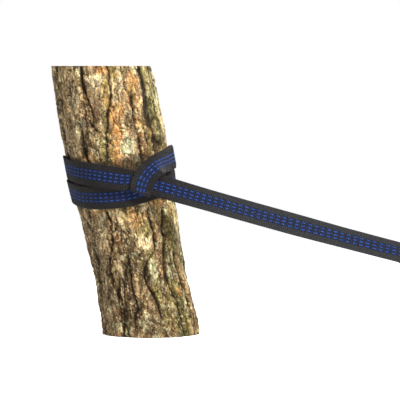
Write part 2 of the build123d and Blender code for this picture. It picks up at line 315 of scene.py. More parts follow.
class Strap:
    """The strap's rings, evenly spaced along it, with its directions at each."""

    def __init__(self, parts):
        pairs = np.concatenate([edges for _, edges in parts])
        starts = np.cumsum([0] + [len(edges) for _, edges in parts])
        middle = pairs.mean(1)
        knots = np.concatenate(([0], np.cumsum(np.linalg.norm(np.diff(middle, axis=0), axis=1))))
        self.length = knots[-1]
        count = int(self.length / RIB_PITCH * RINGS_A_RIB)
        self.s = np.linspace(0, self.length, count + 1)
        both = hermite(knots, pairs.reshape(len(pairs), 6), self.s).reshape(-1, 2, 3)
        for _ in range(SMOOTHING_PASSES):
            both[1:-1] = both[1:-1] / 2 + (both[:-2] + both[2:]) / 4
        self.middle = both.mean(1)
        self.width = np.linalg.norm(both[:, 1] - both[:, 0], axis=1)
        self.along = unit(np.gradient(self.middle, axis=0))
        across = both[:, 1] - both[:, 0]
        across -= self.along * (across * self.along).sum(1)[:, None]
        self.across = unit(across)
        self.out = np.cross(self.across, self.along)
        self.span = {}
        for i, (name, _) in enumerate(parts):
            last = knots[starts[i + 1]] if i + 1 < len(parts) else self.length
            self.span[name] = tuple(np.searchsorted(self.s, (knots[starts[i]], last)))

    def at(self, s, across, out):
        """Places by distance along, across and out, for equal arrays of each."""
        rows = []
        for values in (self.middle, self.across, self.out):
            rows.append(np.stack([np.interp(s, self.s, values[:, k]) for k in range(3)], -1))
        share = np.interp(s, self.s, self.width) / WEB_WIDTH
        return rows[0] + rows[1] * (across * share)[..., None] + rows[2] * out[..., None]


strap = Strap(stretches)


# ---------------- meshes
def make_mesh(name, points, faces, smooth_faces=True):
    """A mesh object from points in millimetres."""
    mesh = bpy.data.meshes.new(name)
    mesh.from_pydata((np.asarray(points) * MM).tolist(), [], faces)
    mesh.validate()
    mesh.polygons.foreach_set("use_smooth", [smooth_faces] * len(mesh.polygons))
    mesh.update()
    obj = bpy.data.objects.new(name, mesh)
    bpy.context.collection.objects.link(obj)
    return obj


def put(obj, name, values, kind="FLOAT"):
    """Stores one value for each vertex under a name."""
    attribute = obj.data.attributes.new(name, kind, "POINT")
    key = {"FLOAT": "value", "FLOAT_VECTOR": "vector", "FLOAT_COLOR": "color"}[kind]
    attribute.data.foreach_set(key, np.asarray(values, np.float32).ravel())


def tube_faces(rings, around, caps=True):
    """Quads between rings of points, and a flat cap at each end."""
    i, j = np.meshgrid(np.arange(rings - 1), np.arange(around), indexing="ij")
    a, b = i * around + j, i * around + (j + 1) % around
    faces = np.stack((a, b, b + around, a + around), -1).reshape(-1, 4).tolist()
    if caps:
        faces.append(list(range(around))[::-1])
        faces.append([(rings - 1) * around + k for k in range(around)])
    return faces


def web_section(flat=11, round_=3):
    """The webbing's cross-section as (across, out), with full rounded edges."""
    reach = WEB_HALF - PLY_HALF
    points = [(a, PLY_HALF) for a in np.linspace(-reach, reach, flat)]
    for k in range(1, round_ + 1):
        a = math.pi / 2 - math.pi * k / (round_ + 1)
        points.append((reach + PLY_HALF * math.cos(a), PLY_HALF * math.sin(a)))
    points += [(a, -PLY_HALF) for a in np.linspace(reach, -reach, flat)]
    for k in range(1, round_ + 1):
        a = -math.pi / 2 - math.pi * k / (round_ + 1)
        points.append((-reach + PLY_HALF * math.cos(a), PLY_HALF * math.sin(a)))
    return np.array(points)


def webbing(name, first, last):
    """One stretch of webbing between two rings of the strap, with a rib at each weft turn."""
    section = web_section()
    rings = np.arange(first, last + 1)
    rib = np.cos(2 * math.pi * rings / RINGS_A_RIB)
    share = strap.width[rings] / WEB_WIDTH
    across = section[:, 0] * (share[:, None] + rib[:, None] * 0.014)
    out = section[:, 1] * (1 + rib[:, None] * 0.10)
    points = (
        strap.middle[rings][:, None]
        + strap.across[rings][:, None] * across[..., None]
        + strap.out[rings][:, None] * out[..., None]
    )
    obj = make_mesh(name, points.reshape(-1, 3), tube_faces(len(rings), len(section)))
    for cap in obj.data.polygons[-2:]:
        cap.use_smooth = False
    cloth = np.zeros((len(rings), len(section), 3))
    cloth[..., 0] = strap.s[rings][:, None]
    cloth[..., 1] = section[:, 0]
    cloth[..., 2] = section[:, 1]
    put(obj, "cloth", cloth.reshape(-1, 3), "FLOAT_VECTOR")
    return obj


STRAND_WIDTH, STRAND_HEIGHT = 0.64, 0.36
STRAND_OFFSET = 0.48  # from the row's middle, as a share of the strand's width
STRAND_SINK = 0.08  # how far a strand lies in the webbing's face
DASH_SHARE = 0.62  # of the pitch, on the face; the back shows the rest and a little more
BARE_END = 5.0  # no dashes this near the strap's ends
# the dashes' pitch along the strap: the taut tail is stretched
PITCHES = ((0, 7.6), (60, 7.6), (240, 7.1), (330, 6.7), (400, 6.1), (1400, 6.1))
steps = [0.0]
while steps[-1] < strap.length:
    steps.append(steps[-1] + float(straight(PITCHES, steps[-1])))
dash_marks = np.array(steps)


def dashes(name, first, last, side=1):
    """The coloured yarn's floats over one stretch: three rows of dashes, each of two strands."""
    start, stop = strap.s[first], strap.s[last]
    middles = dash_marks if side > 0 else dash_marks[:-1] + np.diff(dash_marks) / 2
    middles = middles[(middles >= start) & (middles < stop)]
    middles = middles[(middles > BARE_END) & (middles < strap.length - BARE_END)]
    rng = np.random.default_rng(first + (0 if side > 0 else 7))
    t = np.linspace(-1, 1, 9)
    full = (1 - np.abs(t) ** 3.2) ** 0.5
    full[[0, -1]] = 0.12
    turn = np.linspace(0, 2 * math.pi, 9)[:-1]
    ring_faces = np.array(tube_faces(len(t), len(turn), caps=False))
    ends = (np.arange(len(turn))[::-1], (len(t) - 1) * len(turn) + np.arange(len(turn)))
    points, faces, fibre = [], [], []
    for middle in middles:
        pitch = float(straight(PITCHES, middle))
        length = pitch * (DASH_SHARE if side > 0 else 1.1 - DASH_SHARE)
        for row in (-1, 0, 1):
            for strand in (-1, 1):
                size = rng.uniform(0.9, 1.1)
                s = middle + rng.uniform(-0.25, 0.25) + t * length / 2 * size
                across = row * TRACER_PITCH + strand * STRAND_WIDTH * STRAND_OFFSET
                across = across + rng.uniform(-0.08, 0.08)
                across = across + np.outer(full, np.cos(turn)) * STRAND_WIDTH / 2
                out = PLY_HALF - STRAND_SINK + np.outer(full, np.sin(turn)) * STRAND_HEIGHT * size
                places = strap.at(np.repeat(s[:, None], len(turn), 1), across, side * out)
                base = len(points) * len(t) * len(turn)
                points.append(places.reshape(-1, 3))
                for face in (*ring_faces, *ends):
                    faces.append((base + face[::side]).tolist())
                # each strand's tone: random, plus a painted highlight that makes the strand at +1 lighter
                shade = np.full(across.size, strand * 0.5 + rng.uniform(-0.5, 0.5))
                fibre.append(np.stack((np.repeat(s, len(turn)), across.ravel(), shade), -1))
    obj = make_mesh(name, np.concatenate(points), faces)
    put(obj, "cloth", np.concatenate(fibre), "FLOAT_VECTOR")
    return obj


def thread(name, lines, radius, sides=6):
    """Round thread along rows of points in millimetres, as one mesh."""
    points, faces = [], []
    count = 0
    turn = np.linspace(0, 2 * math.pi, sides + 1)[:-1]
    for line in lines:
        along = unit(np.gradient(line, axis=0))
        side = unit(np.cross(along, along[0] + np.array((0.31, 0.57, 0.23))))
        up = np.cross(side, along)
        ring = side[:, None] * np.cos(turn)[:, None] + up[:, None] * np.sin(turn)[:, None]
        points.append((line[:, None] + ring * radius).reshape(-1, 3))
        faces += [[k + count for k in face] for face in tube_faces(len(line), sides)]
        count += len(line) * sides
    return make_mesh(name, np.concatenate(points), faces)


STITCHES = 24  # in one row
TACK_ROWS = 5
TACK_MARGIN = 2.2  # from the webbing's edge to the stitching
STITCH_REACH = 0.8  # half the zigzag's width
THREAD_RADIUS = 0.24


def bar_tack(name, first_row, pitch):
    """Dense zigzag rows across the webbing, back from this distance along the strap."""
    lines = []
    for row in range(TACK_ROWS):
        t = np.linspace(0, 1, STITCHES * 6 + 1)
        wave = np.abs((t * STITCHES) % 2 - 1) * 2 - 1
        across = (t - 0.5) * (WEB_WIDTH - 2 * TACK_MARGIN)
        lift = 0.22 + 0.12 * (1 - wave**4)
        s = first_row - pitch * row + wave * STITCH_REACH
        lines.append(strap.at(s, across, PLY_HALF + lift))
    return thread(name, lines, THREAD_RADIUS)


# ---------------- materials
class Material:
    """A small helper for building node materials."""

    def __init__(self, name, colour, roughness):
        self.made = bpy.data.materials.new(name)
        self.made.use_nodes = True
        self.tree = self.made.node_tree
        self.shader = self.tree.nodes["Principled BSDF"]
        self.set("Base Color", (*colour, 1.0))
        self.set("Roughness", roughness)

    def set(self, socket, value):
        self.shader.inputs[socket].default_value = value

    def node(self, kind, inputs=(), **settings):
        node = self.tree.nodes.new(kind)
        for key, value in settings.items():
            setattr(node, key, value)
        for socket, value in dict(inputs).items():
            if isinstance(value, bpy.types.NodeSocket):
                self.tree.links.new(value, node.inputs[socket])
            else:
                node.inputs[socket].default_value = value
        return node

    def math(self, operation, a, b=0.0, clamp=False):
        return self.node("ShaderNodeMath", {0: a, 1: b}, operation=operation, use_clamp=clamp).outputs[0]

    def times(self, a, b):
        return self.math("MULTIPLY", a, b)

    def plus(self, a, b):
        return self.math("ADD", a, b)

    def wave(self, value, pitch):
        return self.math("SINE", self.times(value, 2 * math.pi / pitch))

    def mix(self, factor, a, b, blend="MIX"):
        node = self.node("ShaderNodeMix", data_type="RGBA", blend_type=blend)
        for socket, value in ((0, factor), (6, a), (7, b)):
            if isinstance(value, bpy.types.NodeSocket):
                self.tree.links.new(value, node.inputs[socket])
            elif socket:
                node.inputs[socket].default_value = (*value, 1.0)
            else:
                node.inputs[socket].default_value = value
        return node.outputs[2]

    def attribute(self, name):
        return self.node("ShaderNodeAttribute", attribute_name=name)

    def parts(self, vector):
        """The three numbers of a vector."""
        return self.node("ShaderNodeSeparateXYZ", {0: vector}).outputs

    def place(self):
        return self.node("ShaderNodeTexCoord").outputs["Object"]

    def noise(self, vector, scale, detail=3.0, roughness=0.5):
        inputs = {"Vector": vector, "Scale": scale, "Detail": detail, "Roughness": roughness}
        return self.node("ShaderNodeTexNoise", inputs).outputs["Fac"]

    def ramp(self, value, *stops):
        node = self.node("ShaderNodeValToRGB", {0: value})
        elements = node.color_ramp.elements
        for i, (at, colour) in enumerate(stops):
            element = elements[i] if i < 2 else elements.new(at)
            element.position = at
            element.color = (*colour, 1.0) if len(colour) == 3 else colour
        return node.outputs[0]

    def spread(self, value, low, high, to_low=0.0, to_high=1.0):
        """A value from one range carried over to another, and held at its ends."""
        inputs = {0: value, 1: low, 2: high, 3: to_low, 4: to_high}
        return self.node("ShaderNodeMapRange", inputs).outputs[0]

    def bump(self, height, distance, strength=1.0, below=None):
        inputs = {"Height": height, "Distance": distance, "Strength": strength}
        if below is not None:
            inputs["Normal"] = below
        return self.node("ShaderNodeBump", inputs).outputs[0]

    def link(self, value, socket):
        """Drives one of the shader's sockets."""
        self.tree.links.new(value, self.shader.inputs[socket])


TAIL_LIGHT_FROM, TAIL_LIGHT_TO = 300.0, 380.0  # along the strap, from its far end to the knot: the free tail's painted light tapers off between these
TRACER_ZONE = 5.4, 6.4  # across the webbing: the dark blue ground under the dashes ends here


def webbing_material():
    """Dark ribbed webbing with a dark blue band along its middle."""
    m = Material("woven webbing", (0.02, 0.018, 0.017), 0.5)
    m.set("Sheen Weight", 0.04)
    m.set("Sheen Roughness", 0.4)
    m.set("Specular IOR Level", 0.22)
    along, across, _ = m.parts(m.attribute("cloth").outputs["Vector"])
    rib = m.math("COSINE", m.times(along, 2 * math.pi / RIB_PITCH))
    end = m.wave(across, 2 * WARP_PITCH)
    turn = m.wave(along, 2 * RIB_PITCH)
    plain = m.times(end, turn)
    strands = m.wave(across, WARP_PITCH / 2)
    weave = m.plus(m.times(rib, 0.95), m.times(plain, 0.6))
    weave = m.plus(weave, m.times(strands, 0.15))
    fuzz = m.noise(m.place(), 1300.0, 4.0, 0.75)
    patches = m.noise(m.place(), 60.0, 3.0)
    lit = m.spread(m.plus(weave, m.times(fuzz, 1.8)), 0.1, 2.0)
    ground = m.ramp(lit, (0.0, (0.0015, 0.0014, 0.0015)), (1.0, (0.019, 0.0165, 0.015)))
    ground = m.mix(m.spread(patches, 0.4, 0.7, 0.0, 0.35), ground, (0.018, 0.012, 0.009))
    # painted light: the free stretch, tilted up to the lamps, is painted a lighter grey
    painted_tail_light = m.spread(along, TAIL_LIGHT_FROM, TAIL_LIGHT_TO, 0.50, 0.0)
    ground = m.mix(painted_tail_light, ground, (0.046, 0.048, 0.053))
    zone = m.spread(m.math("ABSOLUTE", across), *TRACER_ZONE, 1.0, 0.0)
    blue = m.mix(lit, (0.0006, 0.0016, 0.009), (0.004, 0.014, 0.070))
    # painted light as well: the blue band is weaker on the free stretch
    strength = m.spread(along, TAIL_LIGHT_FROM, TAIL_LIGHT_TO, 0.62, 0.85)
    colour = m.mix(m.times(zone, strength), ground, blue)
    m.link(colour, "Base Color")
    m.link(m.spread(lit, 0.0, 1.0, 0.50, 0.36), "Roughness")
    fine = m.bump(fuzz, 0.00015, 0.6)
    m.link(m.bump(weave, 0.00030, 0.9, fine), "Normal")
    return m.made


def yarn_material():
    """Bright blue twisted yarn; each strand has its own tone, and one strand of each pair is painted
    lighter, as a highlight.
    """
    m = Material("tracer yarn", (0.02, 0.09, 0.60), 0.4)
    m.set("Sheen Weight", 0.04)
    m.set("Specular IOR Level", 0.3)
    along, across, shade = m.parts(m.attribute("cloth").outputs["Vector"])
    twist = m.plus(m.times(across, 16.0), m.times(along, 5.0))
    plies = m.math("SINE", twist)
    fuzz = m.noise(m.place(), 1500.0, 3.0, 0.6)
    light = m.plus(m.times(plies, 0.16), fuzz)
    # the strands' tones, with the painted highlight on one strand of each pair
    light = m.plus(light, m.times(shade, 0.16))
    colour = m.ramp(light, (0.25, (0.004, 0.015, 0.16)), (0.80, (0.034, 0.17, 0.68)))
    m.link(colour, "Base Color")
    m.link(m.spread(fuzz, 0.3, 0.7, 0.34, 0.5), "Roughness")
    m.link(m.bump(plies, 0.00012, 0.7), "Normal")
    return m.made


def thread_material():
    m = Material("sewing thread", (0.02, 0.02, 0.022), 0.55)
    m.set("Sheen Weight", 0.3)
    fuzz = m.noise(m.place(), 3000.0, 2.0, 0.6)
    m.link(m.ramp(fuzz, (0.3, (0.01, 0.01, 0.012)), (0.7, (0.06, 0.058, 0.06))), "Base Color")
    m.link(m.bump(fuzz, 0.00006, 0.6), "Normal")
    return m.made


def bark_material():
    """The bark's vertex colours, with grain, speckles and fine flakes over them."""
    m = Material("bark", (0.4, 0.3, 0.18), 0.9)
    m.set("Specular IOR Level", 0.2)
    colour = m.attribute("bark_colour").outputs["Color"]
    depth = m.attribute("fissure").outputs["Fac"]
    place = m.place()
    speckle = m.noise(place, 620.0, 6.0, 0.8)
    grain_place = m.node("ShaderNodeMapping", {0: place, 2: (0.0, LEAN, 0.0), 3: (1.0, 1.0, 0.3)}).outputs[0]
    grain = m.noise(grain_place, 480.0, 5.0, 0.7)
    warp = m.node("ShaderNodeTexNoise", {"Vector": place, "Scale": 130.0, "Detail": 5.0}).outputs["Color"]
    shift = {0: warp, 1: (0.011, 0.011, 0.005), 2: grain_place}
    bent = m.node("ShaderNodeVectorMath", shift, operation="MULTIPLY_ADD").outputs[0]
    flakes = {"Vector": bent, "Scale": 250.0, "Randomness": 1.0}
    seams = m.node("ShaderNodeTexVoronoi", flakes, feature="DISTANCE_TO_EDGE").outputs["Distance"]
    tone, _, _ = m.parts(m.node("ShaderNodeTexVoronoi", flakes).outputs["Color"])
    broken = m.spread(m.noise(place, 110.0), 0.47, 0.6)
    split = m.times(m.spread(seams, 0.0, 0.12, 0.6, 0.0), broken)
    light = m.spread(m.plus(speckle, grain), 0.77, 1.23, 0.14, 1.98)
    light = m.times(light, m.math("SUBTRACT", 1.0, split))
    light = m.times(light, m.spread(tone, 0.0, 1.0, 0.70, 1.42))
    gain = m.node("ShaderNodeCombineXYZ", {0: light, 1: light, 2: light}).outputs[0]
    m.link(m.mix(1.0, colour, gain, "MULTIPLY"), "Base Color")
    m.link(m.spread(depth, 0.0, 1.0, 0.85, 0.98), "Roughness")
    plate = m.bump(m.math("SUBTRACT", m.times(tone, 0.5), split), 0.0006, 0.7)
    coarse = m.bump(grain, 0.0012, 0.9, plate)
    m.link(m.bump(speckle, 0.0008, 0.9, coarse), "Normal")
    return m.made


RING_PITCH, SAW_PITCH = 0.0027, 0.0031  # metres, as the shader measures


def end_grain_material():
    """Sawn wood: year rings round an off-centre heart, drying cracks and saw marks."""
    m = Material("sawn wood", (0.6, 0.42, 0.24), 0.75)
    place = m.node("ShaderNodeMapping", {0: m.place(), 2: (0.0, LEAN, 0.0)}).outputs[0]
    x, y, _ = m.parts(place)
    x = m.plus(x, -0.004)
    y = m.plus(y, 0.003)
    wobble = m.noise(place, 28.0, 4.0)
    reach = m.math("SQRT", m.plus(m.times(x, x), m.times(y, y)))
    reach = m.plus(reach, m.times(wobble, 0.006))
    ring = m.wave(reach, RING_PITCH)
    late = m.math("POWER", m.spread(ring, -1.0, 1.0), 3.0)
    fibres = m.noise(place, 1400.0, 3.0, 0.7)
    heart = m.spread(reach, 0.010, 0.036, 1.0, 0.0)
    pale = m.mix(m.spread(fibres, 0.3, 0.7), (0.56, 0.40, 0.22), (0.70, 0.54, 0.33))
    pale = m.mix(m.times(heart, 0.55), pale, (0.34, 0.19, 0.09))
    colour = m.mix(m.times(late, 0.6), pale, (0.30, 0.17, 0.08))
    turn = m.math("ARCTAN2", x, y)
    bend = m.times(m.noise(place, 45.0, 2.0), 2.6)
    spoke = m.math("ABSOLUTE", m.math("SINE", m.plus(m.times(turn, 2.5), bend)))
    width = m.math("DIVIDE", 0.0009, m.plus(reach, 0.002))
    check = m.math("SUBTRACT", 1.0, m.math("DIVIDE", spoke, width), clamp=True)
    opened = m.spread(m.noise(place, 38.0, 1.0), 0.42, 0.58)
    check = m.times(check, m.times(opened, m.spread(reach, 0.006, 0.016)))
    colour = m.mix(check, colour, (0.05, 0.03, 0.018))
    m.link(colour, "Base Color")
    stroke = m.plus(x, m.times(wobble, 0.01))
    saw = m.wave(stroke, SAW_PITCH)
    height = m.plus(m.times(saw, 0.25), m.times(late, 0.5))
    height = m.plus(height, m.times(check, -3.0))
    m.link(m.bump(m.plus(height, fibres), 0.0004, 0.8), "Normal")
    return m.made


def metal_material(name, dark, light, roughness, metallic, brush):
    """Metal between two shades, finely scratched along the way that brush stretches."""
    m = Material(name, dark, roughness)
    m.set("Metallic", metallic)
    m.set("Specular IOR Level", 0.5)
    place = m.place()
    lines = m.node("ShaderNodeMapping", {0: place, 3: brush}).outputs[0]
    scratches = m.noise(lines, 900.0, 4.0, 0.65)
    worn = m.noise(place, 140.0, 4.0, 0.6)
    m.link(m.mix(m.spread(worn, 0.45, 0.7), dark, light), "Base Color")
    m.link(m.spread(scratches, 0.3, 0.7, roughness - 0.08, roughness + 0.12), "Roughness")
    m.link(m.bump(scratches, 0.00006, 0.35), "Normal")
    return m.made


def dress(obj, material):
    obj.data.materials.clear()
    obj.data.materials.append(material)


# ---------------- bark
class Noise:
    """Smooth noise over the unrolled bark that joins up round the trunk."""

    def __init__(self, seed):
        self.rng = np.random.default_rng(seed)

    def layer(self, turn, height, cells, length):
        """turn is 0..1 round the trunk, height in millimetres; values -1..1."""
        rows = int(400 / length) + 4
        table = self.rng.uniform(-1, 1, (cells, rows))
        x, y = turn * cells, (height + 40) / length
        i, j = np.floor(x).astype(int), np.floor(y).astype(int)
        fx, fy = x - i, y - j
        fx, fy = fx * fx * (3 - 2 * fx), fy * fy * (3 - 2 * fy)
        j = np.clip(j, 0, rows - 2)
        a, b = table[i % cells, j], table[(i + 1) % cells, j]
        c, d = table[i % cells, j + 1], table[(i + 1) % cells, j + 1]
        return (a * (1 - fx) + b * fx) * (1 - fy) + (c * (1 - fx) + d * fx) * fy

    def layers(self, turn, height, cells, length, octaves=3, fall=0.55):
        total, most = 0, 0
        for k in range(octaves):
            total = total + self.layer(turn, height, cells * 2**k, length / 2**k) * fall**k
            most += fall**k
        return total / most * 1.5


def step_up(x, low, high):
    t = np.clip((x - low) / (high - low), 0, 1)
    return t * t * (3 - 2 * t)


# The main fissures as (angle, height) places, with their width and depth in millimetres.
# The first ones are those of the front.
FISSURES = (
    (((-62, 300), (-60, 283), (-64, 262), (-68, 238), (-68, 212), (-62, 180)), 3.4, 4.0),
    (((-20, 300), (-22, 279), (-19, 264), (-16, 244), (-18, 225)), 2.4, 4.2),
    (((-29, 236), (-34, 213), (-33, 190), (-29, 160), (-25, 142), (-19, 121)), 1.8, 3.8),
    (((-19, 121), (-27, 103), (-35, 86), (-36, 66), (-28, 52), (-26, 31), (-33, 0)), 2.4, 4.0),
    (((9, 300), (10, 276), (8, 258), (3, 242), (-3, 223), (-8, 204), (-12, 180)), 1.4, 2.2),
    (((33, 262), (31, 239), (30, 225), (31, 205), (28, 170), (24, 140)), 1.8, 3.2),
    (((50, 300), (54, 270), (50, 245), (51, 220), (53, 185)), 4.4, 4.2),
    (((70, 300), (73, 268), (68, 240), (72, 205), (70, 160), (74, 130)), 1.8, 2.6),
    (((-49, 147), (-52, 122), (-55, 97), (-58, 70), (-63, 43), (-69, 10)), 1.8, 3.6),
    (((-4, 96), (-7, 82), (-8, 61), (-8, 36), (-15, 8)), 1.8, 3.0),
    (((24, 140), (27, 112), (24, 92), (14, 80), (9, 66), (15, 44), (20, 14)), 2.0, 3.6),
    (((50, 140), (43, 99), (36, 74), (38, 56), (45, 26), (48, 0)), 2.2, 3.8),
    (((66, 110), (58, 79), (62, 49), (68, 15)), 2.0, 3.2),
    (((-88, 300), (-92, 250), (-86, 200), (-90, 150), (-82, 100), (-88, 50), (-92, 0)), 2.2, 3.6),
)


def back_fissures():
    """Wandering fissures over the half of the trunk that faces away."""
    rng = np.random.default_rng(12)
    made = []
    for angle in (93, 112, 131, 152, 172, 193, 214, 235, 253):
        heights = np.arange(300, -30, -38.0)
        wander = angle + np.cumsum(rng.uniform(-4.5, 4.5, len(heights)))
        wander -= (wander - angle).mean()
        line = tuple(zip(wander.tolist(), heights.tolist()))
        made.append((line, rng.uniform(1.7, 2.5), rng.uniform(2.8, 4.0)))
    return tuple(made)


def plates(noise, turn, height, cells, length, warp):
    """Irregular plates over the bark: the distance to the nearest edge, and a value for each plate."""
    rows = int(420 / length) + 2
    shift = noise.rng.uniform(0.1, 0.9, (cells, rows, 2))
    tone = noise.rng.uniform(0, 1, (cells, rows))
    x = turn * cells + noise.layers(turn, height, cells, length, 3, 0.7) * warp
    y = (height + 60) / length + noise.layers(turn, height, cells, length, 3, 0.7) * warp
    i, j = np.floor(x).astype(int), np.floor(y).astype(int)
    first = np.full(turn.shape, 9.0)
    second = np.full(turn.shape, 9.0)
    value = np.zeros(turn.shape)
    for di in (-1, 0, 1):
        for dj in (-1, 0, 1):
            column, row = (i + di) % cells, np.clip(j + dj, 0, rows - 1)
            place = shift[column, row]
            away = np.hypot(i + di + place[..., 0] - x, j + dj + place[..., 1] - y)
            nearer = away < first
            second = np.where(nearer, first, np.minimum(second, away))
            value = np.where(nearer, tone[column, row], value)
            first = np.where(nearer, away, first)
    return second - first, value


ROUND = 336.0  # millimetres once round the bark
FISSURE_SPREAD = 0.86  # of a fissure's stated width, on average
LOW_END, HIGH_END = 2.0, 295.0  # a fissure that reaches these heights runs out at the cut


def bark_fields(turn, height):
    """The bark's relief and colour at places given as turn 0..1 and height."""
    noise = Noise(4)

    def field(cells, length, *detail):
        return noise.layers(turn, height, cells, length, *detail)

    angle = turn * 360 - 180
    bend = field(26, 30, 3) * 2.2
    bend = bend + field(110, 6.0, 3, 0.8) * 1.3
    nearest = np.full(turn.shape, 99.0)
    relief = np.zeros(turn.shape)
    fissure = np.zeros(turn.shape)
    width_noise = field(30, 20, 3, 0.7)
    for line, width, depth in FISSURES + back_fissures():
        low, high = line[-1][1], line[0][1]
        at = smooth([(h, a) for a, h in line[::-1]], height.ravel()).reshape(height.shape)
        away = (angle - at + 180) % 360 - 180
        away = away / 360 * ROUND + bend
        ends = step_up(height, low - 8, low + 10) if low > LOW_END else 1.0
        ends = ends * (1 - step_up(height, high - 10, high + 8) if high < HIGH_END else 1.0)
        here = FISSURE_SPREAD * width * np.clip(1 + 0.8 * width_noise, 0.25, 2.2)
        closed = step_up(field(24, 16, 2), -0.75 + width * 0.08, -0.2)
        here = here * (0.3 + 0.7 * closed)
        share = np.exp(-((away / here) ** 2)) * ends
        nearest = np.minimum(nearest, np.abs(away) + (1 - ends) * 40)
        relief = np.maximum(relief, share * depth * np.clip(0.8 + 0.5 * width_noise, 0.2, 1.3))
        fissure = np.maximum(fissure, share)

    # long cracks between the ridges, in two sizes
    for cells, length, sharp, deep, most in ((26, 75, 4.6, 2.0, 0.9), (52, 30, 3.6, 1.0, 0.7)):
        ridge = noise.layers(turn + bend / ROUND * 0.6, height, cells, length, 3, 0.6)
        gaps = step_up(field(cells // 2, length, 2), -0.2, 0.4)
        crack = np.clip(1 - np.abs(ridge) * sharp, 0, 1) ** 1.5 * gaps
        relief += crack * deep
        fissure = np.maximum(fissure, crack * most)

    # large plates with torn edges, and small flakes on them
    edge, tone = plates(noise, turn, height, 26, 36.0, 0.5)
    small_edge, small_tone = plates(noise, turn, height, 58, 13.0, 0.7)
    broken = step_up(field(26, 22, 2), -0.3, 0.5)
    split = np.clip(1 - edge / 0.10, 0, 1) * broken
    chip = np.clip(1 - small_edge / 0.16, 0, 1) * step_up(field(40, 14, 2), -0.4, 0.4)
    relief += split * 1.0 + chip * 0.55
    fissure = np.maximum(fissure, np.maximum(split * 0.85, chip * 0.52))

    crown = 1 - np.exp(-nearest / 5.0)
    lumps = field(22, 24, 3)
    fine = field(130, 2.4, 3, 0.75)
    raised = crown * 2.0 + tone * 1.0 + small_tone * 0.8 + lumps * 0.9 + fine * 0.42
    return noise, raised, relief, np.clip(fissure, 0, 1), (tone, small_tone, crown), lumps, fine


BARK = {
    "tan": (0.375, 0.240, 0.105),
    "brown": (0.160, 0.094, 0.038),
    "cream": (0.75, 0.585, 0.335),
    "rust": (0.54, 0.245, 0.068),
    "olive": (0.26, 0.232, 0.058),
    "pale": (0.68, 0.63, 0.35),
    "grey": (0.26, 0.187, 0.102),
    "dark": (0.022, 0.013, 0.007),
    "plum": (0.16, 0.075, 0.05),
    "moss": (0.090, 0.082, 0.028),
}
# Patches of the front: angle, height, half width and half height in millimetres, colour, share.
PATCHES = (
    (-5, 281, 8, 8, "cream", 0.9),
    (2, 291, 10, 5, "rust", 0.6),
    (13, 266, 6, 16, "cream", 0.5),
    (41, 272, 4, 15, "rust", 0.7),
    (-10, 252, 4, 13, "plum", 0.6),
    (7, 228, 4, 9, "rust", 0.6),
    (15, 204, 8, 9, "pale", 0.8),
    (-30, 239, 9, 7, "dark", 0.6),
    (52, 262, 4, 36, "moss", 0.8),
    (60, 235, 5, 24, "olive", 0.6),
    (78, 255, 6, 40, "pale", 0.45),
    (-38, 268, 8, 18, "grey", 0.6),
    (-36, 215, 8, 14, "grey", 0.5),
    (6, 129, 12, 10, "rust", 0.35),
    (15, 100, 8, 8, "cream", 0.7),
    (20, 71, 5, 13, "pale", 0.6),
    (44, 63, 6, 8, "pale", 0.6),
    (49, 42, 5, 6, "rust", 0.5),
    (-31, 125, 8, 17, "grey", 0.7),
    (-45, 86, 7, 22, "grey", 0.7),
    (-39, 48, 8, 15, "grey", 0.7),
    (-21, 73, 4, 18, "cream", 0.45),
    (55, 100, 8, 32, "olive", 0.55),
    (70, 95, 5, 40, "pale", 0.4),
)


WRAPS_FOOT = 146, 156  # heights between which the strap's shade on the bark begins
WRAPS_TOP = 190, 198  # and ends


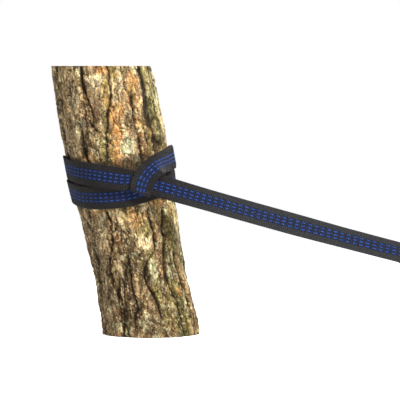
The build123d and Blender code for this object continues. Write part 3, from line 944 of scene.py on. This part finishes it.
def bark_colours(noise, turn, height, fissure, tones, lumps, fine):
    """Colours for the places that bark_fields was given, from what it returned."""
    angle = turn * 360 - 180
    tone, small_tone, crown = tones
    tan, brown, cream, rust = (np.array(BARK[k]) for k in ("tan", "brown", "cream", "rust"))
    olive, pale, grey = (np.array(BARK[k]) for k in ("olive", "pale", "grey"))
    dark, moss = np.array(BARK["dark"]), np.array(BARK["moss"])

    def field(cells, length, *detail):
        return noise.layers(turn, height, cells, length, *detail)

    def over(colour, other, share):
        return colour * (1 - share[..., None]) + other * share[..., None]

    spots = field(90, 4.5, 3, 0.8)
    patches = field(24, 40, 3, 0.65)
    streaks = field(44, 40, 3, 0.7)
    # painted shade: the bark darkens towards the foot
    low_down = 1 - step_up(height, 60, 150)
    bright = 0.32 * tone + 0.34 * small_tone + 0.22 * spots + 0.20 * patches
    # painted shade: the ridge crowns are lighter and the bark beside the fissures darker
    bright = bright + 0.26 * streaks + 0.40 * (crown - 0.75)
    bright = bright - 0.17 * low_down
    # painted light: more cream towards the top; high_up also warms the top middle with rust
    high_up = step_up(height, 40, 260)
    colour = over(np.broadcast_to(tan, (*turn.shape, 3)), brown, step_up(-bright, -0.42, 0.05) * 0.95)
    colour = over(colour, cream, step_up(bright + 0.20 * high_up, 0.46, 0.92) * 0.85)
    middle = np.exp(-(((angle - 20) / 32) ** 2)) * high_up
    warm = field(30, 30, 3, 0.65) + middle * 0.45 - 0.25 * step_up(-height, -150, -60)
    colour = over(colour, rust, step_up(warm + 0.3 * spots, 0.42, 0.85) * 0.75)
    damp = np.exp(-(((angle - 60) / 24) ** 2))
    green = field(34, 60, 3, 0.65) + damp * 0.62 - 0.05
    colour = over(colour, olive, step_up(green, 0.20, 0.80) * 0.7)
    colour = over(colour, moss, step_up(green, 0.75, 1.1) * 0.6)
    shade = field(28, 70, 3, 0.6) + 0.3 * lumps
    colour = over(colour, brown * 0.5, step_up(-shade, 0.12, 0.75) * 0.7)
    # painted shade: the trunk's left side is darker, and its foot a little darker too; the same left mask
    # also adds grey bark there
    left = step_up(-angle, 22, 62) * step_up(angle, -130, -95)
    colour = colour * (1 - 0.23 * left - 0.05 * low_down)[..., None]
    ashen = field(16, 60, 2) * 0.4 + left
    colour = over(colour, grey * (0.55 + 0.8 * small_tone[..., None]), step_up(ashen, 0.4, 1.0) * 0.7)
    torn = field(60, 9, 3, 0.8)
    calm = np.zeros(turn.shape)
    for at, level, wide, tall, name, most in PATCHES:
        reach = np.hypot((angle - at) / 360 * ROUND / wide, (height - level) / tall)
        patch = 1 - step_up(reach + 0.45 * torn, 0.75, 1.15)
        colour = over(colour, np.array(BARK[name]), patch * most)
        calm = np.maximum(calm, patch * most)
    crust = field(48, 10, 3, 0.7) + damp * 0.12
    colour = over(colour, pale, step_up(crust, 0.48, 0.72) * 0.65)
    flecks = step_up(field(150, 2.2, 3, 0.9), 0.22, 0.62)
    colour = over(colour, cream, flecks * 0.6 * (1 - 0.6 * calm))
    pits = step_up(field(140, 2.4, 3, 0.9), 0.15, 0.6)
    colour = over(colour, dark * 1.6, pits * 0.75 * (1 - 0.6 * calm))
    # the fissures near black: partly the bark's own dark colour, partly painted shade in the recesses
    colour = over(colour, dark, step_up(fissure, 0.16, 0.75) * 0.94)
    under_strap = step_up(height, *WRAPS_FOOT) * (1 - step_up(height, *WRAPS_TOP))
    colour = over(colour, dark, under_strap * 0.75)
    return np.clip(colour * (1 + 0.35 * fine[..., None]), 0.004, 0.9)


def saw_cuts(radius, angle):
    """Heights along the axis where the level foot cut and the tilted top cut meet these places."""
    side, front = radius * np.sin(angle), radius * np.cos(angle)
    foot = (0 - side * math.sin(LEAN)) / math.cos(LEAN)
    top = (TRUNK_HEIGHT - front * math.tan(TOP_SAW_TILT) - side * math.sin(LEAN)) / math.cos(LEAN)
    return foot, top


def between_cuts(radius, angle, share):
    """Places at a share of the way from the foot cut up to the top cut."""
    side, front = radius * np.sin(angle), radius * np.cos(angle)
    foot, top = saw_cuts(radius, angle)
    along = foot + (top - foot) * share
    return AXIS * along[..., None] + RIGHT * side[..., None] + FRONT * front[..., None]


BARK_ROWS, BARK_COLUMNS = 300, 304
INNER_ROWS = 14
MEAN_RADIUS = 53.0
PROUD_LEVEL = 2.0  # raised bark above this stands out from the trunk's profile
BELT_FOOT = 128, 146  # heights between which the bark begins to lie flat under the strap
BELT_TOP = 204, 216  # and stops
RIM_COLOUR = (0.16, 0.09, 0.045)


def make_bark():
    """The bark as one closed shell: a rough outer face, sawn rims and a plain inner wall."""
    rows, columns = BARK_ROWS, BARK_COLUMNS
    # turns are spaced closer together on the half that faces front
    even = np.arange(columns) / columns
    turn = (even + 0.042 * np.sin(2 * math.pi * even)) % 1.0
    share = np.linspace(0, 1, rows)
    turn, share = np.meshgrid(turn, share)
    angle = np.radians(turn * 360 - 180)
    foot, top = saw_cuts(MEAN_RADIUS, angle)
    height = foot + (top - foot) * share
    noise, raised, relief, fissure, tones, lumps, fine = bark_fields(turn, height)
    belt = step_up(height, *BELT_FOOT) * (1 - step_up(height, *BELT_TOP))
    proud = np.clip(raised - PROUD_LEVEL, -2.4, 2.2)
    proud = proud * (1 - 0.6 * belt) - 0.9 * belt
    depth = relief * (1 - 0.35 * belt) - np.minimum(proud, 2.2 - 1.9 * belt)
    deepest = WOOD_INSET - 0.8
    radius = bark_radius(height) - np.where(depth > 0, deepest * np.tanh(depth / deepest), depth)

    outer = between_cuts(radius, angle, share)

    # the inner wall, from the top rim down to the foot
    inner = np.linspace(rows - 1, 0, INNER_ROWS).astype(int)
    radius = bark_radius(height[inner]) - WOOD_INSET + 0.1
    wall = between_cuts(radius, angle[inner], share[inner])
    points = np.concatenate((outer.reshape(-1, 3), wall.reshape(-1, 3)))
    faces = tube_faces(rows + len(inner), columns, caps=False)
    last = (rows + len(inner) - 1) * columns
    for k in range(columns):
        n = (k + 1) % columns
        faces.append([last + k, last + n, n, k])
    faces = [face[::-1] for face in faces]
    obj = make_mesh("bark", points, faces)
    sharp = np.zeros(len(obj.data.polygons), bool)
    sharp[(rows - 1) * columns :] = True
    obj.data.polygons.foreach_set("use_smooth", ~sharp)
    colour = bark_colours(noise, turn, height, fissure, tones, lumps, fine).reshape(-1, 3)
    rim_colour = np.broadcast_to(np.array(RIM_COLOUR), (wall.size // 3, 3))
    colour = np.concatenate((colour, rim_colour))
    put(obj, "bark_colour", np.concatenate((colour, np.ones((len(colour), 1))), 1), "FLOAT_COLOR")
    put(obj, "fissure", np.concatenate((fissure.ravel(), np.full(wall.size // 3, 0.5))))
    return obj


# ---------------- camera
camera = bpy.data.objects.new("camera", bpy.data.cameras.new("camera"))
bpy.context.collection.objects.link(camera)
camera.location = (0.0537, -1.400, 0.1474)
camera.rotation_euler = (math.radians(90), 0, 0)
camera.data.sensor_width = 36.0
camera.data.lens = 113.67
camera.data.clip_end = 60.0
bpy.context.scene.camera = camera

# ---------------- the strap
webbing_look, yarn_look, thread_look = webbing_material(), yarn_material(), thread_material()
# each stretch of the strap, with its piece, the node it stands for and its body
PIECES = (
    ("far_loop", "far_loop_web", "far_loop", "tail"),
    ("tail", "tail_web", "tail_webbing", "tail"),
    ("running", "strap_under_loop_web", "strap_under_loop", None),
    ("upper_front", "upper_wrap_front_web", "upper_wrap_front", "choker"),
    ("upper_behind", "upper_wrap_behind_web", "upper_wrap_behind", "choker"),
    ("lower_front", "lower_wrap_front_web", "lower_wrap_front", "choker"),
    ("lower_behind", "lower_wrap_behind_web", "lower_wrap_behind", "choker"),
    ("front_leg", "end_loop_front_web", "end_loop_front_leg", "choker"),
    ("fold", "end_loop_fold_web", "end_loop_fold", "choker"),
    ("back_leg", "end_loop_back_web", "end_loop_back_leg", "choker"),
)
TRACERS = {  # the stretches whose yarn stands for a node of tracers
    "tail": "tail_tracers",
    "running": "upper_wrap_tracers",
    "upper_front": "upper_wrap_tracers",
    "lower_front": "lower_wrap_tracers",
    "front_leg": "end_loop_tracers",
}


def carry(obj, body):
    """Puts a piece on its body, or between the choker and the tail if it has none."""
    if body:
        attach(obj, body)
    else:
        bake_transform(obj)


for stretch, name, node, body in PIECES:
    first, last = strap.span[stretch]
    web = webbing(name, first, last)
    dress(web, webbing_look)
    carry(web, body)
    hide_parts(node)
    for side, tag in ((1, "yarn"), (-1, "yarn_back")):
        if side < 0 and stretch in ("fold", "back_leg"):
            continue
        yarn = dashes(name.replace("web", tag), first, last, side)
        dress(yarn, yarn_look)
        carry(yarn, body)
        if side > 0 and stretch in TRACERS:
            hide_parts(TRACERS[stretch])

# stitching: its stretch, how far inside the stretch's end it starts, and its rows' pitch
for name, stretch, inset, pitch, body, node in (
    ("far_loop_stitching", "far_loop", 2, 3, "tail", "far_loop_bar_tack"),
    ("end_loop_stitching", "lower_behind", 3.1, 3.6, "choker", "end_loop_bar_tack"),
):
    tack = bar_tack(name, strap.s[strap.span[stretch][1]] - inset, pitch)
    dress(tack, thread_look)
    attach(tack, body)
    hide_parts(node)

# ---------------- trunk
bark = make_bark()
dress(bark, bark_material())
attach(bark, "trunk")
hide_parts("trunk_bark")

# ---------------- pieces kept from the CAD
alloy = metal_material("anodised alloy", (0.035, 0.037, 0.042), (0.055, 0.058, 0.065), 0.34, 0.85, (1, 1, 6))
steel = metal_material("steel", (0.55, 0.55, 0.56), (0.62, 0.62, 0.63), 0.28, 1.0, (8, 1, 1))
for name, look in (
    ("trunk_wood", end_grain_material()),
    ("carabiner_frame", alloy),
    ("carabiner_gate", alloy),
    ("gate_pin", steel),
    ("gate_plunger", steel),
    ("gate_spring", steel),
):
    dress(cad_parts[name], look)

# ---------------- the tail's span along the strap
first, last = strap.span["tail"]

# ---------------- floor and light
FLOOR_REACH = 12000
SEEN_LIGHT, CAST_LIGHT = 1.0, 0.22  # the backdrop as the camera sees it, and as it lights the object
corners = [(x * FLOOR_REACH, y * FLOOR_REACH, 0) for x, y in ((-1, -1), (1, -1), (1, 1), (-1, 1))]
floor = make_mesh("floor", corners, [[0, 1, 2, 3]])
floor_look = Material("floor", (0.9, 0.9, 0.9), 0.9)
floor_look.set("Emission Color", (1, 1, 1, 1))
seen = floor_look.node("ShaderNodeLightPath").outputs["Is Camera Ray"]
floor_look.link(floor_look.spread(seen, 0.0, 1.0, 0.10, 0.80), "Emission Strength")
dress(floor, floor_look.made)

world = bpy.data.worlds.new("studio")
bpy.context.scene.world = world
world.use_nodes = True
tree = world.node_tree
background = tree.nodes["Background"]
background.inputs[0].default_value = (1, 1, 1, 1)
path = tree.nodes.new("ShaderNodeLightPath")
strength = tree.nodes.new("ShaderNodeMapRange")
tree.links.new(path.outputs["Is Camera Ray"], strength.inputs[0])
strength.inputs[3].default_value = CAST_LIGHT
strength.inputs[4].default_value = SEEN_LIGHT
tree.links.new(strength.outputs[0], background.inputs[1])


def lamp(name, place, aim, size, power):
    """A round area light, places and size in metres and power in watts."""
    light = bpy.data.lights.new(name, "AREA")
    light.shape = "DISK"
    light.size = size
    light.energy = power
    obj = bpy.data.objects.new(name, light)
    bpy.context.collection.objects.link(obj)
    obj.location = place
    obj.rotation_euler = (Vector(aim) - Vector(place)).to_track_quat("-Z", "Y").to_euler()


lamp("key", (0.88, -1.00, 1.55), (0, 0, 0.2), 0.35, 52)
lamp("fill", (-1.5, -1.3, 0.6), (0, 0, 0.15), 1.2, 5)
lamp("rim", (0.6, 1.6, 1.2), (0, 0, 0.15), 1.0, 10)

bpy.context.scene.view_settings.view_transform = "Standard"
